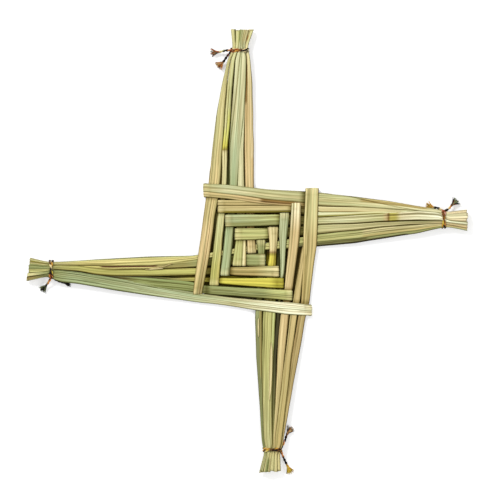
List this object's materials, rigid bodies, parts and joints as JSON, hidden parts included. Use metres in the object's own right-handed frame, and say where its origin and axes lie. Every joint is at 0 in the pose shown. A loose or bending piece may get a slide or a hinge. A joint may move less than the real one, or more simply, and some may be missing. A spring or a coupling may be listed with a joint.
{
  "type": "brigid cross",
  "caption": "Flat wall cross woven from flattened rushes in a square spiral, its arms tied near their tips with twisted thread.",
  "frame": {"origin": "bottom centre of the bounding box, on the surface that the cross lies on", "axes": "+Z out of the woven front, +Y along the upper arm as the cross hangs"},
  "size_m": [0.2582, 0.2606, 0.0074],
  "materials": {
    "rush_green": "dry satin straw, ridged along its length",
    "rush_grey_green": "dry satin straw, ridged along its length",
    "rush_cream": "dry satin straw, ridged along its length",
    "rush_pink": "dry satin straw, ridged along its length",
    "rush_tan": "dry satin straw, ridged along its length",
    "rush_yellow": "dry satin straw, ridged along its length",
    "twisted_thread": "two-ply metallic thread, gold and dark"
  },
  "bodies": {
    "root": {"east_rush_1": "rush_green", "east_rush_2": "rush_green", "south_rush_1": "rush_green", "west_rush_1": "rush_green", "west_rush_4": "rush_green", "north_rush_3": "rush_grey_green", "south_rush_3": "rush_grey_green", "east_rush_6": "rush_grey_green", "west_rush_5": "rush_grey_green", "king_rush": "rush_grey_green", "north_rush_2": "rush_cream", "north_rush_4": "rush_cream", "east_rush_4": "rush_cream", "south_rush_2": "rush_cream", "west_rush_2": "rush_cream", "north_rush_1": "rush_pink", "east_rush_3": "rush_pink", "east_rush_5": "rush_pink", "south_rush_4": "rush_pink", "north_rush_5": "rush_tan", "south_rush_5": "rush_tan", "south_rush_6": "rush_tan", "west_rush_3": "rush_yellow", "thread_tie_north": "twisted_thread", "thread_tie_east": "twisted_thread", "thread_tie_south": "twisted_thread", "thread_tie_west": "twisted_thread"}
  },
  "joints": []
}
